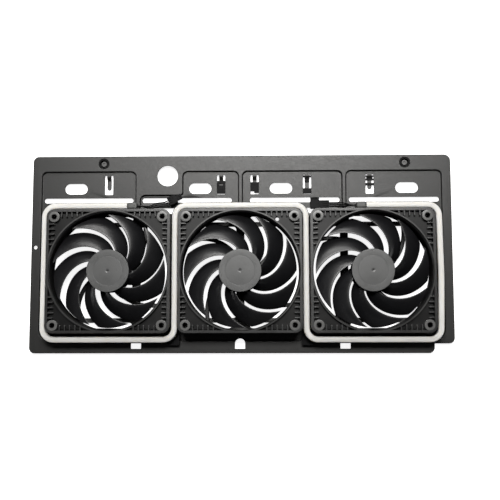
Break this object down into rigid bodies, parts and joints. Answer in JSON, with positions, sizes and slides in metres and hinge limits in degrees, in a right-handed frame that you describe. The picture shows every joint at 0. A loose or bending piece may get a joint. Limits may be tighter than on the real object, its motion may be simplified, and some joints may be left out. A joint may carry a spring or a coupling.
{
  "type": "three-fan mounting tray",
  "caption": "Stamped steel case tray carrying a row of box fans, with a light strip snaking round them and captive screws.",
  "frame": {"origin": "under the middle of the tray's outline, on the plane of the fan screws' heads", "axes": "+X along the row of fans, +Y from the row of fans towards the edge with the captive screws, +Z from the tray's sheet towards the fans' open faces"},
  "size_m": [0.417, 0.1964, 0.029],
  "materials": {
    "powder_coat": "fine satin powder coat",
    "frame_plastic": "satin moulded",
    "blade_plastic": "soft sheen",
    "black_plastic": "satin moulded",
    "cap_plastic": "satin moulded",
    "silicone": "soft, slightly translucent",
    "tape": "flat",
    "black_steel": "black oxide",
    "bright_steel": "turned",
    "ferrite": "flat",
    "copper": "enamelled wire",
    "bronze": "sintered",
    "board": "solder mask",
    "wire_cover": "smooth"
  },
  "bodies": {
    "tray": {"tray_plate": "powder_coat", "captive_retainer_left": "black_plastic", "captive_retainer_right": "black_plastic", "fan_1_frame": "frame_plastic", "fan_1_bearing": "bronze", "fan_1_stator": "copper", "fan_1_circuit_board": "board", "fan_1_bearing_cap": "black_plastic", "fan_2_frame": "frame_plastic", "fan_2_bearing": "bronze", "fan_2_stator": "copper", "fan_2_circuit_board": "board", "fan_2_bearing_cap": "black_plastic", "fan_3_frame": "frame_plastic", "fan_3_bearing": "bronze", "fan_3_stator": "copper", "fan_3_circuit_board": "board", "fan_3_bearing_cap": "black_plastic", "fan_screw_1": "black_steel", "fan_screw_2": "black_steel", "fan_screw_3": "black_steel", "fan_screw_4": "black_steel", "fan_screw_5": "black_steel", "fan_screw_6": "black_steel", "fan_screw_7": "black_steel", "fan_screw_8": "black_steel", "fan_screw_9": "black_steel", "fan_screw_10": "black_steel", "fan_screw_11": "black_steel", "fan_screw_12": "black_steel", "light_strip": "silicone", "led_tape": "tape", "strip_carrier_left": "black_plastic", "strip_carrier_middle": "black_plastic", "strip_carrier_right": "black_plastic", "strip_end_cap_left": "cap_plastic", "strip_end_cap_right": "cap_plastic", "connector_left": "black_plastic", "connector_right": "black_plastic", "left_lead_power": "wire_cover", "left_lead_data": "wire_cover", "left_lead_ground": "wire_cover", "right_lead_power": "wire_cover", "right_lead_data": "wire_cover", "right_lead_ground": "wire_cover"},
    "fan_1_rotor": {"fan_1_impeller": "blade_plastic", "fan_1_magnet_ring": "ferrite", "fan_1_shaft": "bright_steel", "fan_1_shaft_clip": "black_steel"},
    "fan_2_rotor": {"fan_2_impeller": "blade_plastic", "fan_2_magnet_ring": "ferrite", "fan_2_shaft": "bright_steel", "fan_2_shaft_clip": "black_steel"},
    "fan_3_rotor": {"fan_3_impeller": "blade_plastic", "fan_3_magnet_ring": "ferrite", "fan_3_shaft": "bright_steel", "fan_3_shaft_clip": "black_steel"},
    "captive_screw_left": {"captive_screw_left": "black_steel"},
    "captive_screw_right": {"captive_screw_right": "black_steel"}
  },
  "joints": [
    {"name": "fan_1_spin", "type": "hinge", "parent": "tray", "child": "fan_1_rotor", "pos_m": [-0.12775, -0.0185, 0.02], "axis": [0, 0, 1], "continuous": true},
    {"name": "fan_2_spin", "type": "hinge", "parent": "tray", "child": "fan_2_rotor", "pos_m": [0, -0.0185, 0.02], "axis": [0, 0, 1], "continuous": true},
    {"name": "fan_3_spin", "type": "hinge", "parent": "tray", "child": "fan_3_rotor", "pos_m": [0.12775, -0.0185, 0.02], "axis": [0, 0, 1], "continuous": true},
    {"name": "captive_screw_left_lift", "type": "slide", "parent": "tray", "child": "captive_screw_left", "axis": [0, 0, 1], "range_m": [0, 0.003]},
    {"name": "captive_screw_right_lift", "type": "slide", "parent": "tray", "child": "captive_screw_right", "axis": [0, 0, 1], "range_m": [0, 0.003]}
  ]
}
